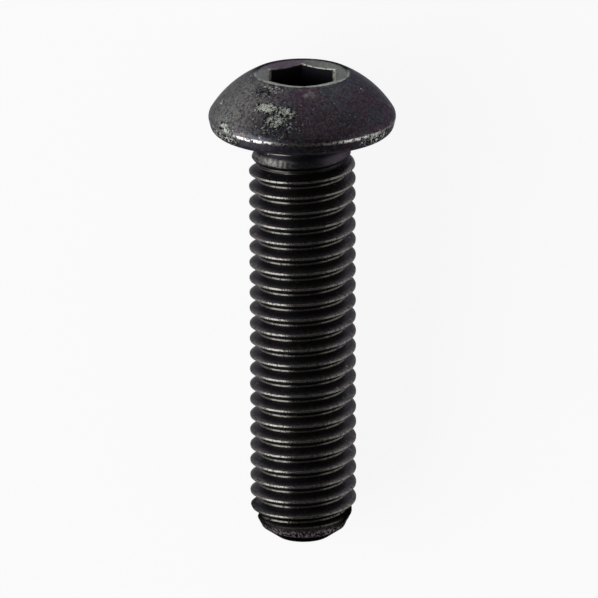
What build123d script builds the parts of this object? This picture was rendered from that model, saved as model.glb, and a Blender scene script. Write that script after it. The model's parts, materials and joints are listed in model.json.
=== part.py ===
from build123d import *
import math
import os

# Button head socket screw, M10 x 1.5 x 40, headed and thread-rolled from one piece of steel.
# Millimetres and degrees. It is drawn upright first: the axis is Z, the bearing face under the
# head is z = 0 and the shank points down. Last of all it is laid on its side, as it comes to rest.

# Thread: metric coarse, right-handed
thread_diameter = 10.0
thread_pitch = 1.5
thread_allowance = 0.032  # the crests are this much under the nominal diameter
flank_angle = 30.0  # of each flank, from square to the axis
first_crest_depth = 3.3  # from the bearing face to the first crest on the +X side

# Shank
shank_length = 40.0
neck_diameter = 9.25  # the plain blank between head and thread
neck_length = 1.2
neck_fillet = 0.5
runout_length = 2.3  # where the grooves go from nothing to full depth
crest_rise_length = 1.2  # lower end of the run-out, where the crests rise from the blank to full height

# Point: a long lead that the rolled thread fades on, a blunter cone, and a flat end
lead_length = 2.1
point_length = 1.05
point_edge_diameter = 7.85
point_flat_diameter = 4.9
point_round = 0.2

# Head
head_diameter = 17.5
head_height = 5.5
rim_height = 1.2  # of the ridge round the widest part of the head
rim_land = 0.4  # upright band between the ridge and the dome
rim_taper = 0.3  # how far the side draws in from the ridge to the bearing face
rim_round = 0.15
bearing_round = 0.7
dome_radius = 9.6
dome_round = 1.0  # between the dome and the upright band
mouth_diameter = 9.1  # edge of the dome round the socket
mouth_round = 0.25

# Hexagon socket
socket_width = 6.08  # across flats, for a 6 mm key
socket_depth = 3.3
socket_floor_drop = 0.6
dish_diameter = 8.6
dish_drop = 0.2  # from the dish's edge down to the corners of the hexagon

# Sizes that follow from the others
crest_radius = (thread_diameter - thread_allowance) / 2
thread_depth = thread_pitch * math.sqrt(3) / 2 * 17 / 24
root_radius = crest_radius - thread_depth
crest_half_width = thread_pitch / 16
flank_slope = math.tan(math.radians(flank_angle))
rim_radius = head_diameter / 2
neck_radius = neck_diameter / 2
point_edge_radius = point_edge_diameter / 2
point_top = point_length - shank_length
lead_top = point_top + lead_length
thread_top = -(neck_length + runout_length)
lead_slope = (crest_radius - point_edge_radius) / lead_length
crest_rise_slope = (crest_radius - neck_radius) / crest_rise_length

os.makedirs("parts", exist_ok=True)


def blank():
    """The screw before its thread and socket: head, neck, thread root and point, turned as one."""
    mouth_edge = (mouth_diameter / 2, head_height)
    dome_foot = (rim_radius, rim_height + rim_land)
    ridge = (rim_radius, rim_height)
    bearing_edge = (rim_radius - rim_taper, 0)
    neck_top = (neck_radius, 0)
    neck_foot = (neck_radius, -neck_length)
    root_top = (root_radius, thread_top)
    root_foot = (root_radius, point_top + (root_radius - point_edge_radius) / lead_slope)
    point_edge = (point_edge_radius, point_top)
    flat_edge = (point_flat_diameter / 2, -shank_length)
    rounds = {
        mouth_edge: mouth_round,
        dome_foot: dome_round,
        ridge: rim_round,
        bearing_edge: bearing_round,
        neck_top: neck_fillet,
        point_edge: point_round,
        flat_edge: point_round,
    }
    with BuildPart() as solid:
        with BuildSketch(Plane.XZ) as outline:
            with BuildLine():
                Polyline((0, head_height), mouth_edge)
                RadiusArc(mouth_edge, dome_foot, dome_radius)
                Polyline(dome_foot, ridge, bearing_edge, neck_top, neck_foot, root_top, root_foot)
                Polyline(root_foot, point_edge, flat_edge, (0, -shank_length), (0, head_height))
            make_face()
            for corner, radius in rounds.items():
                fillet(outline.vertices().sort_by_distance((*corner, 0))[0], radius)
        revolve(axis=Axis.Z)
    return solid.part


def thread_limits():
    """The turned form that the crests stay inside: the lead at the point, the run-out at the neck."""
    spare = 0.3
    outer = crest_radius + spare
    inner_foot = root_radius - spare
    inner_top = neck_radius - spare
    foot = point_top + (inner_foot - point_edge_radius) / lead_slope
    top = thread_top + crest_rise_length + spare / crest_rise_slope
    with BuildPart() as solid:
        with BuildSketch(Plane.XZ):
            with BuildLine():
                Polyline(
                    (0, foot),
                    (inner_foot, foot),
                    (outer, lead_top + spare / lead_slope),
                    (outer, thread_top - spare / crest_rise_slope),
                    (inner_top, top),
                    (0, top),
                    close=True,
                )
            make_face()
        revolve(axis=Axis.Z)
    return solid.part


def thread():
    """The helical ridge of the thread, sunk a little into the root so that it joins there."""
    sink = 0.06
    turns_below = math.ceil((shank_length - first_crest_depth) / thread_pitch) + 1
    turns_above = math.ceil(first_crest_depth / thread_pitch)
    start = -first_crest_depth - turns_below * thread_pitch
    foot_radius = root_radius - sink
    foot_half_width = crest_half_width + (crest_radius - foot_radius) * flank_slope
    path = Wire(
        Edge.make_helix(thread_pitch, thread_pitch, root_radius, (0, 0, start + turn * thread_pitch))
        for turn in range(turns_below + turns_above)
    )
    with BuildSketch(Plane.XZ) as section:
        with BuildLine():
            Polyline(
                (foot_radius, start - foot_half_width),
                (crest_radius, start - crest_half_width),
                (crest_radius, start + crest_half_width),
                (foot_radius, start + foot_half_width),
                close=True,
            )
        make_face()
    return sweep(section.sketch, path=path, is_frenet=True) & thread_limits()


def socket():
    """What the punch takes out of the head: a shallow dish, the hexagon and its blunt conical floor."""
    upward = (Align.CENTER, Align.CENTER, Align.MAX)
    dish_radius = dish_diameter / 2
    dish_slope = dish_drop / (dish_radius - socket_width / math.sqrt(3))
    dish = Cone(0, dish_radius, dish_radius * dish_slope, align=upward)
    floor = Cone(0, socket_width / 2, socket_floor_drop, align=upward)
    hexagon = extrude(
        RegularPolygon(socket_width / 2, 6, major_radius=False, rotation=30), amount=socket_depth
    )
    return Pos(0, 0, head_height) * dish + Pos(0, 0, head_height - socket_depth) * (hexagon + floor)


def at_rest(screw):
    """The screw on its side, head towards +Y, touching the ground at the rim and at the last full crest."""
    crest_at_ground = -first_crest_depth + thread_pitch / 4 - crest_half_width
    turns_to_lead = math.floor((crest_at_ground - lead_top) / thread_pitch)
    last_crest = crest_at_ground - turns_to_lead * thread_pitch
    tilt = math.degrees(math.atan((rim_radius - crest_radius) / (rim_height - last_crest)))
    laid = Rot(X=tilt - 90) * screw
    box = laid.bounding_box()
    return Pos(-box.center().X, -box.center().Y, -box.min.Z) * laid


button_head_screw = at_rest(blank() + thread() - socket())
export_step(button_head_screw, "parts/button_head_screw.step")
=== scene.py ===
"""The button head screw, with its rolled thread, its black oxide and its wear, lying on a pale floor.

The screw is modelled upright in millimetres, in its own frame: the axis is Z, the bearing face under
the head is z = 0 and the shank points down. Its finished mesh is then laid where the frame has it.
"""

import json
import math

import bmesh
import bpy
from mathutils import Matrix, Vector, noise


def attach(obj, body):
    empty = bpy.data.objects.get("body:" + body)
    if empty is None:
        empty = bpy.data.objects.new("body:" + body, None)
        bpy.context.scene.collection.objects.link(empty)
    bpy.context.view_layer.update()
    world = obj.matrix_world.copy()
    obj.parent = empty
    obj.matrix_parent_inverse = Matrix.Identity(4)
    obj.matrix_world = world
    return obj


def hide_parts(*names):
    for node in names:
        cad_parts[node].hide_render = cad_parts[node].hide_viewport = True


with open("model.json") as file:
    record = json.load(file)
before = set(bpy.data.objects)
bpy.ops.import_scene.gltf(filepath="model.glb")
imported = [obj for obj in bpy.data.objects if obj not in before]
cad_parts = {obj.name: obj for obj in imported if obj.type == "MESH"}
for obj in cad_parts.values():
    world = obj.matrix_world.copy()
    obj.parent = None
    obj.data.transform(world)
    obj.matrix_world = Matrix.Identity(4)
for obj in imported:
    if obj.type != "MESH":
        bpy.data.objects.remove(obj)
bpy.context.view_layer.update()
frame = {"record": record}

# Thread
CREST_RADIUS = 4.984
PITCH = 1.5
FLANK_SLOPE = math.tan(math.radians(30))
THREAD_DEPTH = PITCH * math.sqrt(3) / 2 * 17 / 24
ROOT_RADIUS = CREST_RADIUS - THREAD_DEPTH
CREST_HALF_WIDTH = PITCH / 16
CREST_ROUND = 0.06
ROOT_ROUND = 0.2
FIRST_CREST_DEPTH = 3.3
CREST_DENT = 0.012  # the crests are this uneven
CREST_DENT_SCALE = 1.6
FADE_ROUND = 0.05  # where a crest meets the slope of the lead or the run-out
FLATTENED_BY = 0.2  # a crest that the slope cuts down this far is broad, and less worn
WORN_DEPTH = 0.05  # from the crest down
ROLLED_DEPTH = 0.1  # from the root up

# Shank and point
SHANK_LENGTH = 40.0
NECK_RADIUS = 4.625
NECK_LENGTH = 1.2
NECK_FILLET = 0.5
RUNOUT_LENGTH = 2.3
CREST_RISE_LENGTH = 1.2
LEAD_LENGTH = 2.1
POINT_LENGTH = 1.05
POINT_EDGE_RADIUS = 3.925
POINT_FLAT_RADIUS = 2.45
POINT_ROUND = 0.2

# Head
RIM_RADIUS = 8.75
HEAD_HEIGHT = 5.5
RIM_HEIGHT = 1.2
RIM_LAND = 0.4
RIM_TAPER = 0.3
RIM_ROUND = 0.15
BEARING_ROUND = 0.7
DOME_RADIUS = 9.6
DOME_ROUND = 1.0
MOUTH_RADIUS = 4.55
MOUTH_ROUND = 0.25

# Socket
SOCKET_WIDTH = 6.08
SOCKET_DEPTH = 3.3
SOCKET_FLOOR_DROP = 0.6
DISH_RADIUS = 4.3
DISH_DROP = 0.2
SOCKET_EDGE_ROUND = 0.06
CONE_RADIUS = 2.9  # of the cone in the hexagon's floor

# Places that follow
POINT_TOP = POINT_LENGTH - SHANK_LENGTH
LEAD_TOP = POINT_TOP + LEAD_LENGTH
THREAD_TOP = -(NECK_LENGTH + RUNOUT_LENGTH)
NECK_JOIN = -(NECK_FILLET + 0.3)
HEX_RADIUS = SOCKET_WIDTH / math.sqrt(3)
DISH_SLOPE = DISH_DROP / (DISH_RADIUS - HEX_RADIUS)

# How finely the mesh is made
STEPS_ROUND = 96  # once round the axis
DOME_STEPS = 24
DOME_ROUND_STEPS = 6
ROUND_STEPS = 5
THREAD_ROUND_STEPS = 4
DISH_RINGS = 2
MERGE_WITHIN = 5e-4
TOUCHING = 1e-4
SMOOTH_UNDER = math.radians(40)

# Where the frame has the screw, in metres
MM = 0.001
SOCKET_MOUNT = next(mount for mount in frame["record"]["mounts"] if mount["name"] == "hex_socket")
HEAD_TOP = Vector(SOCKET_MOUNT["pos_m"])
ALONG = Vector(SOCKET_MOUNT["axis"]).normalized()
ACROSS = Vector((1, 0, 0))
UPWARD = ACROSS.cross(ALONG)
LAID = (
    Matrix.Translation(HEAD_TOP - ALONG * HEAD_HEIGHT * MM)
    @ Matrix((ACROSS, -UPWARD, ALONG)).transposed().to_4x4()
    @ Matrix.Scale(MM, 4)
)

# Finish, with the colours of painted light and shade among it
OXIDE_BLUE = (0.037, 0.037, 0.051, 1)
OXIDE_BROWN = (0.052, 0.032, 0.048, 1)
# grey mottle in the oxide, and the painted sheen on the dome's left and on the neck band's left
OXIDE_GREY_AND_SHEEN = (0.185, 0.190, 0.180, 1)
# the dish's pale grey is a painted reflection; its purple behind is painted shade
DISH_GREY = (0.195, 0.207, 0.192, 1)
DISH_PURPLE = (0.110, 0.086, 0.112, 1)
# dark pits in the oxide; also the painted shade on the dome's right, under the rim, on the neck under
# the head, inside the socket and behind the dish
OXIDE_DARK_AND_SHADE = (0.012, 0.011, 0.014, 1)
OXIDE_PURPLE = (0.060, 0.045, 0.062, 1)
GROOVE_DARK = (0.040, 0.037, 0.042, 1)
# the lead and point painted near-black: painted shade
END_SHADE = (0.006, 0.005, 0.007, 1)
# the point edge's streaks: wear, painted light as the edge's highlight
END_GREY = (0.225, 0.192, 0.215, 1)
ROLLED_STEEL = (0.105, 0.102, 0.090, 1)
# scuffs, and the painted highlights on the socket's edges, the mouth and the dish's front
SCUFF_AND_HIGHLIGHT_STEEL = (0.56, 0.59, 0.51, 1)
# worn crests and ridge, and the neck's painted highlight lines
BARE_STEEL_AND_HIGHLIGHT = (0.190, 0.182, 0.166, 1)
# painted highlights on the ridge's left and right front
RIDGE_HIGHLIGHT_STEEL = (0.80, 0.79, 0.75, 1)
OILY_GLANCE = (0.45, 0.45, 0.47, 1)  # seen at a low angle
END_GLANCE = (0.15, 0.15, 0.16, 1)
OXIDE_ROUGHNESS = 0.28
OXIDE_ROUGHNESS_SPREAD = 0.25
BURNISHED_ROUGHNESS = 0.2
GRAIN_DEPTH = 0.00001  # metres

# Parts of the finish and of its painted light and shade: a centre, and a reach along X, Y and Z
# painted sheen on the dome's left
SHEEN_LEFT = (-8.0, -2.5, 3.6), (9.5, 7.5, 4.5)
# painted shade on the dome's right
SHADE_RIGHT = (6.3, -4.6, 3.4), (4.0, 4.5, 3.5)
# painted shade on the dish behind
DISH_BEHIND = (-2.0, 3.2, HEAD_HEIGHT), (5.0, 2.6, 3.0)
# painted highlights on the ridge
RIDGE_HIGHLIGHT_LEFT = (-4.9, -7.2, RIM_HEIGHT), (3.0, 3.0, 1.0)
RIDGE_HIGHLIGHT_RIGHT = (4.6, -7.4, RIM_HEIGHT), (4.5, 4.5, 1.0)
NECK_PURPLE = (3.5, -3.0, -1.9), (4.0, 4.0, 2.0)
# the neck band's worn left, painted with sheen
NECK_RUBBED_AND_SHEEN = (-4.2, -2.8, -1.9), (5.2, 5.0, 3.0)
# the neck's painted highlight lines, on its left
NECK_HIGHLIGHT_LEFT = (-3.2, -3.4, -2.0), (4.5, 4.5, 6.0)

# Scuffs: a centre and a reach as above, and how thick they lie there
SCUFFED = (
    ((-3.3, -6.0, 3.95), (2.1, 1.7, 0.6), 0.29),
    ((-1.7, -6.9, 3.7), (1.9, 1.7, 1.0), 0.24),
    ((-2.5, -7.2, 3.0), (1.7, 1.6, 1.2), 0.24),
    ((-2.2, -7.7, 2.6), (3.6, 2.6, 2.2), 0.09),
    ((-3.2, -4.1, 5.1), (2.8, 1.8, 1.3), 0.12),
    ((-7.2, -4.7, 1.6), (1.5, 1.5, 0.9), 0.26),
    ((-7.4, -4.4, 0.8), (3.8, 3.8, 1.2), 0.19),
    ((6.9, -5.3, 0.8), (3.2, 3.2, 1.1), 0.18),
    ((-7.5, -1.5, 3.15), (0.5, 0.6, 0.35), 0.35),
)

# The neck's band and its painted highlight lines lie a little askew. Their levels are measured along
# this direction.
NECK_AXIS = (-0.06, 0, 1)
NECK_BAND = -1.97, 0.55
NECK_HIGHLIGHT_LINES = (-0.97, 0.2), (-2.93, 0.2)

# Room, in metres
FLOOR_COLOUR = (0.95, 0.95, 0.95, 1)
FLOOR_GLOW = 0.9
FLOOR_SIZE = 6.0
LEFT_WALL = (0.65, 0.65, 0.65, 1)
RIGHT_WALL = (0.10, 0.10, 0.10, 1)
CEILING = (0.12, 0.12, 0.12, 1)
LEFT_TO_RIGHT = -0.3, 0.5  # where one wall goes over into the other
WALL_TO_CEILING = 0.02, 0.12
LAMP_DISTANCE = 0.6

# Camera: millimetres and degrees
CAMERA_LEAN = 18.5
CAMERA_DISTANCE = 1200.0
CAMERA_LENS = 771.0
CAMERA_TARGET = 22.2
CAMERA_ASIDE = -0.35
CAMERA_ROLL = -0.19
CAMERA_CLIP = 0.05, 20  # metres


def clamped(value):
    """A value kept from 0 to 1."""
    return min(max(value, 0), 1)


def arc(centre, radius, start, end, steps):
    """Points on an arc, from one angle to another, in radians."""
    angles = [start + (end - start) / steps * n for n in range(steps + 1)]
    return [(centre[0] + radius * math.cos(a), centre[1] + radius * math.sin(a)) for a in angles]


def rounded(corners, steps=ROUND_STEPS):
    """An outline through (point, radius) corners. Where there is a radius, the corner is an arc."""
    outline = []
    for n, (corner, radius) in enumerate(corners):
        if not radius:
            outline.append(corner)
            continue
        corner = Vector(corner)
        back = (Vector(corners[n - 1][0]) - corner).normalized()
        on = (Vector(corners[n + 1][0]) - corner).normalized()
        half = back.angle(on) / 2
        centre = corner + (back + on).normalized() * (radius / math.sin(half))
        first = corner + back * (radius / math.tan(half)) - centre
        last = corner + on * (radius / math.tan(half)) - centre
        start = math.atan2(first.y, first.x)
        turn = math.remainder(math.atan2(last.y, last.x) - start, 2 * math.pi)
        outline += arc(centre, radius, start, start + turn, steps)
    return outline


def pick(mode, test):
    """Picks the corners or edges that lie wholly where test says, in edit mode."""
    bpy.ops.mesh.select_mode(type=mode)
    bpy.ops.mesh.select_all(action="DESELECT")
    shape = bmesh.from_edit_mesh(bpy.context.object.data)
    for part in {"VERT": shape.verts, "EDGE": shape.edges}[mode]:
        if all(test(corner.co) for corner in ([part] if mode == "VERT" else part.verts)):
            part.select_set(True)
    bmesh.update_edit_mesh(bpy.context.object.data)


def merge_doubles():
    """Corners of the active piece that lie in one place become one."""
    bpy.ops.object.mode_set(mode="EDIT")
    bpy.ops.mesh.select_all(action="SELECT")
    bpy.ops.mesh.remove_doubles(threshold=MERGE_WITHIN)
    bpy.ops.object.mode_set(mode="OBJECT")


def wire(name, outline):
    """A line through (radius, height) points, extruded from one corner on to the next."""
    bpy.ops.object.select_all(action="DESELECT")
    bpy.ops.mesh.primitive_plane_add(size=0.1)
    piece = bpy.context.object
    piece.name = name
    bpy.ops.object.mode_set(mode="EDIT")
    bpy.ops.mesh.merge(type="CENTER")
    points = [Vector((radius, 0, height)) for radius, height in outline]
    bpy.ops.transform.translate(value=points[0])
    for before, after in zip(points, points[1:]):
        bpy.ops.mesh.extrude_vertices_move(TRANSFORM_OT_translate={"value": after - before})
    bpy.ops.object.mode_set(mode="OBJECT")
    return piece


def take_round(piece, turns=1, climb=0.0):
    """Takes a line round the axis, climbing a little with each turn."""
    screw = piece.modifiers.new("round", "SCREW")
    screw.axis = "Z"
    screw.angle = 2 * math.pi
    screw.steps = screw.render_steps = STEPS_ROUND
    screw.screw_offset = climb
    screw.iterations = turns
    bpy.ops.object.modifier_apply(modifier=screw.name)
    merge_doubles()


def head_outline():
    """The head as (radius, height): from the dish's edge over the dome and the rim to the neck."""
    mouth = Vector((MOUTH_RADIUS, HEAD_HEIGHT))
    foot = Vector((RIM_RADIUS, RIM_HEIGHT + RIM_LAND))
    chord = foot - mouth
    inward = Vector((chord.y, -chord.x)).normalized()
    dome = (mouth + foot) / 2 + inward * math.sqrt(DOME_RADIUS**2 - chord.length_squared / 4)
    mouth_level = HEAD_HEIGHT - MOUTH_ROUND
    mouth_angle = math.asin((mouth_level - dome.y) / (DOME_RADIUS - MOUTH_ROUND))
    foot_angle = math.acos((RIM_RADIUS - DOME_ROUND - dome.x) / (DOME_RADIUS - DOME_ROUND))
    to_mouth = Vector((math.cos(mouth_angle), math.sin(mouth_angle)))
    to_foot = Vector((math.cos(foot_angle), math.sin(foot_angle)))
    mouth_centre = dome + to_mouth * (DOME_RADIUS - MOUTH_ROUND)
    foot_centre = dome + to_foot * (DOME_RADIUS - DOME_ROUND)
    outline = [(DISH_RADIUS, HEAD_HEIGHT)]
    outline += arc(mouth_centre, MOUTH_ROUND, math.pi / 2, mouth_angle, ROUND_STEPS)
    outline += arc(dome, DOME_RADIUS, mouth_angle, foot_angle, DOME_STEPS)[1:]
    outline += arc(foot_centre, DOME_ROUND, foot_angle, 0, DOME_ROUND_STEPS)[1:]
    side = rounded([
        (outline[-1], 0),
        ((RIM_RADIUS, RIM_HEIGHT), RIM_ROUND),
        ((RIM_RADIUS - RIM_TAPER, 0), BEARING_ROUND),
        ((NECK_RADIUS, 0), NECK_FILLET),
        ((NECK_RADIUS, NECK_JOIN), 0),
    ])
    return outline + side[1:]


def point_outline():
    """The point under the lead: a blunt cone and a flat end, as (radius, height)."""
    return rounded([
        ((POINT_EDGE_RADIUS, POINT_TOP), 0),
        ((POINT_FLAT_RADIUS, -SHANK_LENGTH), POINT_ROUND),
        ((POINT_FLAT_RADIUS / 2, -SHANK_LENGTH), 0),
        ((0, -SHANK_LENGTH), 0),
    ])


def thread_outline():
    """One pitch of the thread from crest to crest, as (radius, height)."""
    half = rounded([
        ((CREST_RADIUS, 0), 0),
        ((CREST_RADIUS, CREST_HALF_WIDTH), CREST_ROUND),
        ((ROOT_RADIUS, CREST_HALF_WIDTH + THREAD_DEPTH * FLANK_SLOPE), ROOT_ROUND),
        ((ROOT_RADIUS, PITCH / 2), 0),
    ], steps=THREAD_ROUND_STEPS)
    middle = len(half) // 2
    half.insert(middle, tuple((a + b) / 2 for a, b in zip(half[middle - 1], half[middle])))
    return half + [(radius, PITCH - height) for radius, height in reversed(half[:-1])]


def rounded_lower(a, b, width):
    """The lower of two values, with the corner between them rounded over a width."""
    share = clamped(0.5 + (b - a) / (2 * width))
    return b + (a - b) * share - width * share * (1 - share)


def lead_limit(height):
    """How far out the lead lets anything reach."""
    climbed = height - POINT_TOP
    return POINT_EDGE_RADIUS + climbed * (CREST_RADIUS - POINT_EDGE_RADIUS) / LEAD_LENGTH


def crest_limit(height):
    """How far out the crests may reach: less on the run-out and on the lead."""
    below_top = THREAD_TOP - height
    runout = CREST_RADIUS + below_top * (CREST_RADIUS - NECK_RADIUS) / CREST_RISE_LENGTH
    return min(lead_limit(height), runout)


def thread_floor(height):
    """How far in the grooves may go: they rise to the plain neck, and come out on the lead."""
    below_neck = -NECK_LENGTH - height
    runout = NECK_RADIUS + below_neck * (ROOT_RADIUS - NECK_RADIUS) / RUNOUT_LENGTH
    return min(max(runout, ROOT_RADIUS), NECK_RADIUS, lead_limit(height))


def thread_corner(radius, height, dent):
    """Where a corner of the thread ends up, as a radius, and how worn and how rolled it is."""
    limit = crest_limit(height)
    floor = thread_floor(height)
    crest = min(limit, CREST_RADIUS)
    thread_left = clamped((crest - floor) / THREAD_DEPTH * 4)
    flattened = clamped((radius - limit) / FLATTENED_BY)
    worn = clamped(1 + (radius - crest) / WORN_DEPTH) * thread_left * (1 - 0.8 * flattened)
    rolled = clamped(1.2 - (radius - ROOT_RADIUS) / ROLLED_DEPTH) * thread_left
    return max(rounded_lower(radius + dent, limit, FADE_ROUND), floor), worn, rolled


def make_thread():
    """The threaded length, from the plain neck to the edge of the point."""
    turns_below = math.ceil((SHANK_LENGTH - FIRST_CREST_DEPTH) / PITCH)
    turns_above = math.ceil(FIRST_CREST_DEPTH / PITCH)
    start = -FIRST_CREST_DEPTH - turns_below * PITCH
    piece = wire("thread", [(radius, start + height) for radius, height in thread_outline()])
    take_round(piece, turns=turns_below + turns_above - 1, climb=PITCH)
    for name in ("worn", "rolled"):
        piece.data.attributes.new(name, "FLOAT", "POINT")
    worn = piece.data.attributes["worn"].data
    rolled = piece.data.attributes["rolled"].data
    for corner, wear, root in zip(piece.data.vertices, worn, rolled):
        radius = corner.co.xy.length
        height = max(corner.co.z, POINT_TOP)
        dent = CREST_DENT * noise.noise(corner.co * CREST_DENT_SCALE)
        shaped, wear.value, root.value = thread_corner(radius, height, dent)
        corner.co.xy *= shaped / radius
    # What reaches past the neck's join or the edge of the point is pressed flat there.
    for level, side in ((NECK_JOIN, 1), (POINT_TOP, -1)):
        bpy.ops.object.mode_set(mode="EDIT")
        pick("VERT", lambda at: (at.z - level) * side > 0)
        bpy.ops.transform.resize(value=(1, 1, 0), center_override=(0, 0, level))
        bpy.ops.object.mode_set(mode="OBJECT")
    merge_doubles()
    return piece


def dish_height(radius):
    """The height of the dish round the hexagon, at a radius."""
    return HEAD_HEIGHT - DISH_SLOPE * (DISH_RADIUS - radius)


def on_dish(at):
    """Whether a place lies in the surface of the dish."""
    return abs(at.z - dish_height(at.xy.length)) < TOUCHING


def make_socket():
    """The hexagon, from its rim in the dish down to its blunt conical floor."""
    floor = HEAD_HEIGHT - SOCKET_DEPTH
    bpy.ops.object.select_all(action="DESELECT")
    bpy.ops.mesh.primitive_circle_add(vertices=6, radius=HEX_RADIUS)
    piece = bpy.context.object
    piece.name = "socket"
    bpy.ops.object.mode_set(mode="EDIT")
    bpy.ops.mesh.subdivide(number_cuts=STEPS_ROUND // 6 - 1)
    bpy.ops.transform.translate(value=(0, 0, floor))
    bpy.ops.mesh.extrude_edges_move()
    for corner in bmesh.from_edit_mesh(piece.data).verts:
        if corner.select:
            corner.co.z = dish_height(corner.co.xy.length)
    bmesh.update_edit_mesh(piece.data)
    bpy.ops.mesh.primitive_circle_add(
        vertices=STEPS_ROUND, radius=CONE_RADIUS, location=(0, 0, floor)
    )
    bpy.ops.mesh.extrude_edges_move(TRANSFORM_OT_translate={"value": (0, 0, -SOCKET_FLOOR_DROP)})
    bpy.ops.mesh.merge(type="CENTER")
    pick("EDGE", lambda at: abs(at.z - floor) < TOUCHING)
    bpy.ops.mesh.bridge_edge_loops()
    bpy.ops.object.mode_set(mode="OBJECT")
    return piece


def make_screw():
    """The whole screw as one closed mesh, laid where the frame has it."""
    head = wire("head", head_outline())
    take_round(head)
    point = wire("point", point_outline())
    take_round(point)
    thread = make_thread()
    socket = make_socket()
    for piece in (head, point, thread, socket):
        piece.select_set(True)
    bpy.context.view_layer.objects.active = thread
    bpy.ops.object.join()
    merge_doubles()
    bpy.ops.object.mode_set(mode="EDIT")
    pick("EDGE", lambda at: at.z > RIM_HEIGHT and on_dish(at))
    bpy.ops.mesh.bridge_edge_loops(number_cuts=DISH_RINGS)
    pick("EDGE", lambda at: at.xy.length < HEX_RADIUS + TOUCHING and on_dish(at))
    bpy.ops.mesh.bevel(offset=SOCKET_EDGE_ROUND, segments=2)
    bpy.ops.mesh.select_all(action="SELECT")
    bpy.ops.mesh.normals_make_consistent(inside=False)
    bpy.ops.object.mode_set(mode="OBJECT")
    bpy.ops.object.shade_smooth_by_angle(angle=SMOOTH_UNDER)
    thread.name = thread.data.name = "screw"
    thread.matrix_world = LAID
    bpy.ops.object.transform_apply(location=True, rotation=True, scale=True)
    return thread


def empty_tree(owner):
    """The shader nodes of a material or a world, with nothing in them yet."""
    owner.use_nodes = True
    owner.node_tree.nodes.clear()
    return owner.node_tree


def node(tree, kind, inputs=None, **settings):
    """A shader node with its settings. Inputs are plain values or the outputs of other nodes."""
    made = tree.nodes.new(kind)
    for name, value in settings.items():
        setattr(made, name, value)
    for name, value in (inputs or {}).items():
        if isinstance(value, bpy.types.NodeSocket):
            tree.links.new(value, made.inputs[name])
        else:
            made.inputs[name].default_value = value
    return made


def calc(tree, operation, *values):
    """A sum, product or other calculation on plain values or outputs."""
    return node(tree, "ShaderNodeMath", dict(enumerate(values)), operation=operation).outputs[0]


def scaled(tree, value, factor, base):
    """A value times a factor, on top of a base."""
    return calc(tree, "MULTIPLY_ADD", value, factor, base)


def product(tree, *values):
    """Several values or masks multiplied together."""
    total = values[0]
    for value in values[1:]:
        total = calc(tree, "MULTIPLY", total, value)
    return total


def highest(tree, *values):
    """The highest of several values or masks."""
    top = values[0]
    for value in values[1:]:
        top = calc(tree, "MAXIMUM", top, value)
    return top


def grain(tree, place, scale, detail=3.0, roughness=0.6, distortion=0.0):
    """Cloudy noise from 0 to 1. Scale is in patches to the millimetre."""
    return node(tree, "ShaderNodeTexNoise", {
        "Vector": place,
        "Scale": scale,
        "Detail": detail,
        "Roughness": roughness,
        "Distortion": distortion,
    }).outputs["Fac"]


def ramp(tree, value, low, high):
    """0 where a value is under low, 1 where it is over high, and a smooth step between."""
    inputs = {"Value": value, "From Min": low, "From Max": high}
    made = node(tree, "ShaderNodeMapRange", inputs, interpolation_type="SMOOTHSTEP")
    return made.outputs["Result"]


def blend(tree, share, first, second):
    """One colour going over into another."""
    # The node's sockets for colours are its inputs 6 and 7 and its output 2.
    inputs = {"Factor": share, 6: first, 7: second}
    return node(tree, "ShaderNodeMix", inputs, data_type="RGBA").outputs[2]


def between(tree, share, first, second):
    """One value going over into another."""
    inputs = {"Factor": share, "A": first, "B": second}
    return node(tree, "ShaderNodeMix", inputs, data_type="FLOAT").outputs["Result"]


def stretched(tree, place, *scale):
    """A place with its X, Y and Z drawn out or squeezed."""
    return node(tree, "ShaderNodeVectorMath", {0: place, 1: scale}, operation="MULTIPLY").outputs[0]


def near(tree, place, centre, reach):
    """1 at a centre, going down to 0 at a reach that differs along X, Y and Z."""
    away = node(tree, "ShaderNodeVectorMath", {0: place, 1: centre}, operation="SUBTRACT")
    away = stretched(tree, away.outputs[0], *(1 / length for length in reach))
    distance = node(tree, "ShaderNodeVectorMath", {0: away}, operation="LENGTH").outputs["Value"]
    return ramp(tree, distance, 1.0, 0.2)


def places(tree):
    """Where a point of the screw lies in the screw's own frame: place, radius and height."""
    upright = LAID.inverted()
    place = node(tree, "ShaderNodeMapping", {
        "Vector": node(tree, "ShaderNodeTexCoord").outputs["Object"],
        "Location": upright.to_translation(),
        "Rotation": upright.to_euler(),
        "Scale": upright.to_scale(),
    }).outputs["Vector"]
    split = node(tree, "ShaderNodeSeparateXYZ", {0: place}).outputs
    across = node(tree, "ShaderNodeCombineXYZ", {"X": split["X"], "Y": split["Y"]}).outputs[0]
    radius = node(tree, "ShaderNodeVectorMath", {0: across}, operation="LENGTH").outputs["Value"]
    return place, radius, split["Z"]


def measured(tree, place, direction):
    """How far a point lies along a direction."""
    inputs = {0: place, 1: direction}
    return node(tree, "ShaderNodeVectorMath", inputs, operation="DOT_PRODUCT").outputs["Value"]


def hexagon_reach(tree, place):
    """How far a point is from the axis, measured square to the nearest side of the hexagon."""
    reaches = []
    for turn in (0, 60, 120):
        side = (math.cos(math.radians(turn)), math.sin(math.radians(turn)), 0)
        reaches.append(calc(tree, "ABSOLUTE", measured(tree, place, side)))
    return highest(tree, *reaches)


def band(tree, value, centre, reach):
    """1 where a value is near a centre, going down to 0 at a reach to either side."""
    away = calc(tree, "ABSOLUTE", calc(tree, "SUBTRACT", value, centre))
    return ramp(tree, away, reach, reach * 0.3)


def neck_level(tree, place):
    """How high a point lies by the neck's band and its painted highlight lines."""
    return measured(tree, place, NECK_AXIS)


def at_end(tree, height):
    """1 on the lead and the point, 0 above them."""
    return ramp(tree, height, LEAD_TOP + 0.4, LEAD_TOP - 0.2)


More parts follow.
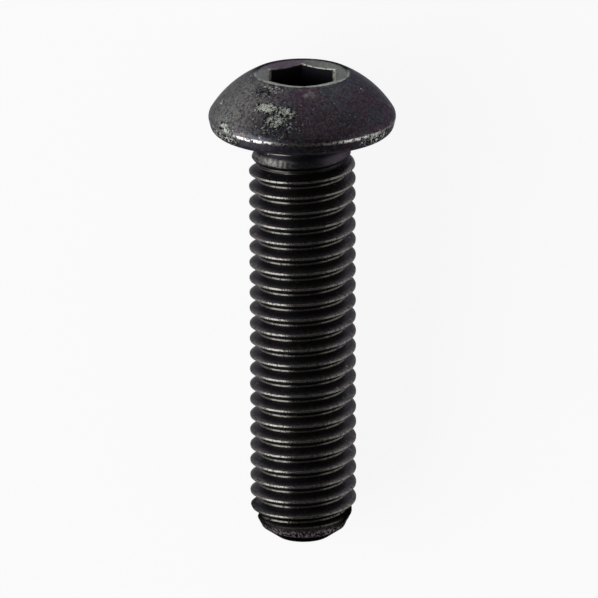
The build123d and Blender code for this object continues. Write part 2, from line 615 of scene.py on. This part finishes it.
def oxide_colour(tree, place, radius, height, fine, speckle):
    """The oxide: blue-black and brown-black clouds, mottled with grey and pitted dark; over it a
    painted sheen on the dome's left, and painted shade on its right and under the rim.
    """
    clouds = grain(tree, place, 0.3, 2)
    colour = blend(tree, ramp(tree, clouds, 0.42, 0.58), OXIDE_BLUE, OXIDE_BROWN)
    # Grey clouds in the oxide, and a painted sheen on the dome's left.
    grey_and_sheen = highest(tree, near(tree, place, *SHEEN_LEFT), ramp(tree, clouds, 0.64, 0.75))
    mottle = product(tree, ramp(tree, speckle, 0.40, 0.60), scaled(tree, grey_and_sheen, 0.60, 0.22))
    colour = blend(tree, scaled(tree, grey_and_sheen, 0.40, mottle), colour, OXIDE_GREY_AND_SHEEN)
    pitted = product(tree, ramp(tree, fine, 0.5, 0.35), 0.85)
    # Painted shade on the dome's right.
    right = product(tree, near(tree, place, *SHADE_RIGHT), 0.35)
    # Painted shade on the rim's side below the ridge.
    below_ridge = ramp(tree, height, RIM_HEIGHT, RIM_HEIGHT - 0.2)
    shade_under_rim = product(tree, below_ridge, ramp(tree, radius, 6.0, 8.0), 0.45)
    for dark in (pitted, right, shade_under_rim):
        colour = blend(tree, dark, colour, OXIDE_DARK_AND_SHADE)
    return colour


def shank_colour(tree, place, radius, height, speckle, colour):
    """Dark grooves; painted shade on the neck under the head; over the run-out a worn band, painted
    grey with sheen on its left and purple on its right; a lead and point painted black as shade, with
    grey streaks round the point's edge, wear painted light as its highlight.
    """
    flank = ramp(tree, radius, CREST_RADIUS - 0.05, CREST_RADIUS - 0.25)
    groove = product(tree, ramp(tree, height, -2.6, -3.1), flank, 0.75)
    colour = blend(tree, groove, colour, GROOVE_DARK)
    level = neck_level(tree, place)
    # Painted shade on the neck under the head.
    shade_under_head = product(tree, ramp(tree, level, -0.05, -0.4), ramp(tree, level, -2.9, -2.6), 0.9)
    colour = blend(tree, shade_under_head, colour, OXIDE_DARK_AND_SHADE)
    neck_band = band(tree, level, *NECK_BAND)
    purple = product(tree, neck_band, near(tree, place, *NECK_PURPLE))
    colour = blend(tree, purple, colour, OXIDE_PURPLE)
    # The band's left: wear, painted grey where the sheen falls.
    left = near(tree, place, *NECK_RUBBED_AND_SHEEN)
    wear_and_painted_light = product(tree, neck_band, left, ramp(tree, speckle, 0.42, 0.60), 0.5)
    colour = blend(tree, wear_and_painted_light, colour, OXIDE_GREY_AND_SHEEN)
    # The lead and the point painted near-black: painted shade.
    colour = blend(tree, at_end(tree, height), colour, END_SHADE)
    # Grey streaks round the point's edge: wear, painted light as the edge's highlight.
    streaks = ramp(tree, grain(tree, stretched(tree, place, 1, 1, 0.4), 5.5, 4, 0.7), 0.45, 0.58)
    at_edge = band(tree, height, POINT_TOP + 0.2, 0.6)
    return blend(tree, product(tree, at_edge, streaks), colour, END_GREY)


def socket_colour(tree, place, radius, height, speckle, colour):
    """A pressed dish, painted pale grey as its reflection and purple behind as painted shade; painted
    highlights in front and at its edges; and an inside painted black as shade.
    """
    in_dish = ramp(tree, height, HEAD_HEIGHT - 0.35, HEAD_HEIGHT - 0.25)
    dish = product(tree, in_dish, ramp(tree, radius, 4.45, 4.35))
    # The dish painted pale grey as its reflection, and purple behind as painted shade.
    dish_tone = blend(tree, near(tree, place, *DISH_BEHIND), DISH_GREY, DISH_PURPLE)
    mottled = product(tree, dish, scaled(tree, ramp(tree, speckle, 0.40, 0.56), 0.4, 0.6))
    colour = blend(tree, mottled, colour, dish_tone)
    dish_level = scaled(tree, radius, DISH_SLOPE, HEAD_HEIGHT - DISH_SLOPE * DISH_RADIUS)
    below = calc(tree, "SUBTRACT", dish_level, height)
    reach = hexagon_reach(tree, place)
    # Painted shade: the socket's inside made black.
    inside = product(
        tree,
        ramp(tree, reach, SOCKET_WIDTH / 2 + 0.1, SOCKET_WIDTH / 2),
        ramp(tree, below, 0.05, 0.12),
        ramp(tree, height, 0, 1),
    )
    colour = blend(tree, inside, colour, OXIDE_DARK_AND_SHADE)
    split = node(tree, "ShaderNodeSeparateXYZ", {0: place}).outputs
    back = ramp(tree, split["Y"], -0.2, 1.4)
    front = ramp(tree, split["Y"], -1.6, -2.8)
    right = ramp(tree, split["X"], -0.3, 0.3)
    at_top = ramp(tree, height, HEAD_HEIGHT - 0.2, HEAD_HEIGHT - 0.1)
    # Painted shade behind the dish, at the back of the mouth.
    shade_behind_dish = product(tree, ramp(tree, radius, 4.05, 4.3), at_top, back)
    colour = blend(tree, shade_behind_dish, colour, OXIDE_DARK_AND_SHADE)
    # Painted highlights: the hexagon's edge, lighter on the right, its back corners, the mouth's
    # front and the dish's front.
    hexagon_edge = product(
        tree,
        band(tree, reach, SOCKET_WIDTH / 2 + 0.02, 0.09),
        band(tree, below, 0.02, 0.08),
        scaled(tree, right, 0.7, 0.1),
    )
    corners = [
        product(tree, near(tree, place, (side * SOCKET_WIDTH / 2, 1.75, 4.4), (0.3, 0.3, 1.8)), 0.7)
        for side in (-1, 1)
    ]
    mouth = product(
        tree,
        band(tree, radius, 4.4, 0.16),
        at_top,
        calc(tree, "SUBTRACT", 1.0, back),
        ramp(tree, speckle, 0.44, 0.54),
        0.5,
    )
    light = highest(tree, hexagon_edge, *corners, mouth, product(tree, dish, front, 0.75))
    wear_and_painted_light = product(tree, light, ramp(tree, speckle, 0.34, 0.48))
    return blend(tree, wear_and_painted_light, colour, SCUFF_AND_HIGHLIGHT_STEEL)


def scuff_masks(tree, place):
    """Small curling scuffs and the dark pits between them: on the dome, on the rim, and strays."""
    marks = grain(tree, place, 2.7, 2, 0.55, 1.6)
    near_patch = highest(tree, *(
        product(tree, near(tree, place, centre, reach), weight) for centre, reach, weight in SCUFFED
    ))
    scuffs = ramp(tree, calc(tree, "ADD", marks, near_patch), 0.67, 0.79)
    pits = product(tree, ramp(tree, near_patch, 0.03, 0.1), ramp(tree, marks, 0.49, 0.43))
    return scuffs, pits


def bare_metal_and_highlights(tree, place, radius, height, fine, speckle):
    """Where the oxide is worn off, on the crests and the rim's ridge, and two painted highlight lines
    on the neck.

    The ridge is given by itself too, so that it can be painted lighter at its left and right front:
    painted highlights over its wear.
    """
    worn = node(tree, "ShaderNodeAttribute", attribute_name="worn").outputs["Fac"]
    broken = scaled(tree, fine, 0.5, calc(tree, "MULTIPLY", speckle, 0.5))
    crests = product(tree, worn, scaled(tree, ramp(tree, broken, 0.42, 0.52), 0.75, 0.25))
    on_rim = ramp(tree, radius, RIM_RADIUS - 0.1, RIM_RADIUS - 0.02)
    at_ridge = band(tree, height, RIM_HEIGHT + 0.05, 0.21)
    ridge = product(tree, at_ridge, on_rim, ramp(tree, speckle, 0.42, 0.54))
    level = neck_level(tree, place)
    # Painted highlight lines on the neck's left.
    lines = highest(tree, *(band(tree, level, *line) for line in NECK_HIGHLIGHT_LINES))
    left = near(tree, place, *NECK_HIGHLIGHT_LEFT)
    neck = product(tree, lines, left, ramp(tree, speckle, 0.3, 0.45))
    return highest(tree, crests, ridge, neck), ridge


def black_oxide():
    """Black oxide on steel, lightly oiled and scuffed, worn to the steel where the screw rubs;
    painted sheen, shade and highlights lie in its colour too.
    """
    material = bpy.data.materials.new("black_oxide_steel")
    tree = empty_tree(material)
    place, radius, height = places(tree)
    fine = grain(tree, place, 7.0, 4, 0.65)
    speckle = grain(tree, place, 3.2, 4, 0.65)
    colour = oxide_colour(tree, place, radius, height, fine, speckle)
    colour = socket_colour(tree, place, radius, height, speckle, colour)
    colour = shank_colour(tree, place, radius, height, speckle, colour)

    outside = ramp(tree, radius, HEX_RADIUS, HEX_RADIUS + 0.3)
    scuffs, pits = scuff_masks(tree, place)
    colour = blend(tree, product(tree, pits, outside), colour, OXIDE_DARK_AND_SHADE)
    flaky = scaled(tree, ramp(tree, fine, 0.40, 0.54), 0.65, 0.25)
    colour = blend(tree, product(tree, scuffs, outside, flaky), colour, SCUFF_AND_HIGHLIGHT_STEEL)

    rolled = node(tree, "ShaderNodeAttribute", attribute_name="rolled").outputs["Fac"]
    root = product(tree, rolled, ramp(tree, speckle, 0.36, 0.5))
    colour = blend(tree, root, colour, ROLLED_STEEL)
    bare_and_highlight, ridge = bare_metal_and_highlights(tree, place, radius, height, fine, speckle)
    colour = blend(tree, bare_and_highlight, colour, BARE_STEEL_AND_HIGHLIGHT)
    # Painted highlights on the ridge at its left and right front.
    ridge_left = product(tree, near(tree, place, *RIDGE_HIGHLIGHT_LEFT), 0.5)
    ridge_right = near(tree, place, *RIDGE_HIGHLIGHT_RIGHT)
    bright = product(tree, ridge, highest(tree, ridge_left, ridge_right))
    colour = blend(tree, bright, colour, RIDGE_HIGHLIGHT_STEEL)

    burnished = highest(tree, bare_and_highlight, root)
    oiled = scaled(tree, speckle, OXIDE_ROUGHNESS_SPREAD, OXIDE_ROUGHNESS)
    uneven = product(tree, fine, calc(tree, "SUBTRACT", 1.0, burnished))
    bump = node(tree, "ShaderNodeBump", {"Strength": 1.0, "Distance": GRAIN_DEPTH, "Height": uneven})
    surface = node(tree, "ShaderNodeBsdfPrincipled", {
        "Base Color": colour,
        "Metallic": 1.0,
        "Roughness": between(tree, burnished, oiled, BURNISHED_ROUGHNESS),
        "Normal": bump.outputs["Normal"],
        "Specular Tint": blend(tree, at_end(tree, height), OILY_GLANCE, END_GLANCE),
    })
    node(tree, "ShaderNodeOutputMaterial", {"Surface": surface.outputs[0]})
    return material


def pale_floor():
    """A plain white floor. Seen straight on it is brighter than it lights the screw."""
    material = bpy.data.materials.new("pale_floor")
    tree = empty_tree(material)
    path = node(tree, "ShaderNodeLightPath").outputs
    rays = ("Is Camera Ray", "Is Glossy Ray", "Is Transmission Ray")
    seen = highest(tree, *(path[ray] for ray in rays))
    paper = node(tree, "ShaderNodeBsdfDiffuse", {"Color": FLOOR_COLOUR})
    glow = node(tree, "ShaderNodeEmission", {"Color": (1, 1, 1, 1), "Strength": 1.0})
    mixed = node(tree, "ShaderNodeMixShader", {
        "Fac": product(tree, seen, FLOOR_GLOW),
        1: paper.outputs[0],
        2: glow.outputs[0],
    })
    node(tree, "ShaderNodeOutputMaterial", {"Surface": mixed.outputs[0]})
    return material


def make_floor():
    """The floor that the screw lies on."""
    bpy.ops.object.select_all(action="DESELECT")
    bpy.ops.mesh.primitive_plane_add(size=FLOOR_SIZE)
    floor = bpy.context.object
    floor.name = "floor"
    floor.data.materials.append(pale_floor())


def room_light():
    """Walls low down, pale on the left and dim on the right, going over into a dark ceiling."""
    world = bpy.data.worlds.new("room")
    bpy.context.scene.world = world
    tree = empty_tree(world)
    direction = node(tree, "ShaderNodeTexCoord").outputs["Generated"]
    split = node(tree, "ShaderNodeSeparateXYZ", {0: direction}).outputs
    walls = blend(tree, ramp(tree, split["X"], *LEFT_TO_RIGHT), LEFT_WALL, RIGHT_WALL)
    room = blend(tree, ramp(tree, split["Z"], *WALL_TO_CEILING), walls, CEILING)
    glow = node(tree, "ShaderNodeBackground", {"Color": room})
    node(tree, "ShaderNodeOutputWorld", {"Surface": glow.outputs[0]})


def softbox(name, azimuth, lean, size, glow):
    """A soft lamp of even glow. Azimuth is from straight up towards +X, lean is towards the head.

    Its size is its width across the screw and its length along the screw.
    """
    a = math.radians(azimuth)
    b = math.radians(lean)
    away = Vector((math.sin(a) * math.cos(b), math.sin(b), math.cos(a) * math.cos(b)))
    across = Vector((math.cos(a), 0, -math.sin(a)))
    data = bpy.data.lights.new(name, "AREA")
    data.shape = "RECTANGLE"
    data.size, data.size_y = size
    data.energy = glow * math.pi * size[0] * size[1]
    lamp = bpy.data.objects.new(name, data)
    turned = Matrix((across, away.cross(across), away)).transposed()
    lamp.matrix_world = Matrix.Translation(away * LAMP_DISTANCE) @ turned.to_4x4()
    lamp.visible_camera = False
    bpy.context.collection.objects.link(lamp)


def make_camera():
    """A long lens over the screw, a little towards its head, which is at the top of the picture."""
    lean = math.radians(CAMERA_LEAN)
    back = UPWARD * math.cos(lean) + ALONG * math.sin(lean)
    data = bpy.data.cameras.new("camera")
    data.lens = CAMERA_LENS
    data.clip_start, data.clip_end = CAMERA_CLIP
    camera = bpy.data.objects.new("camera", data)
    target = HEAD_TOP - ALONG * CAMERA_TARGET * MM + ACROSS * CAMERA_ASIDE * MM
    roll = Matrix.Rotation(math.radians(CAMERA_ROLL), 3, "Z")
    turned = Matrix((ACROSS, back.cross(ACROSS), back)).transposed() @ roll
    camera.matrix_world = Matrix.Translation(target + back * CAMERA_DISTANCE * MM) @ turned.to_4x4()
    bpy.context.collection.objects.link(camera)
    bpy.context.scene.camera = camera


bpy.context.scene.view_settings.view_transform = "Standard"
screw = make_screw()
screw.data.materials.clear()
screw.data.materials.append(black_oxide())
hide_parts("button_head_screw")
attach(screw, "root")
make_floor()
room_light()
softbox("left_softbox", azimuth=-68, lean=-8, size=(0.66, 0.8), glow=3.4)
softbox("right_softbox", azimuth=74, lean=-4, size=(0.5, 0.7), glow=0.6)
softbox("head_softbox", azimuth=0, lean=64, size=(1.0, 0.5), glow=0.4)
make_camera()
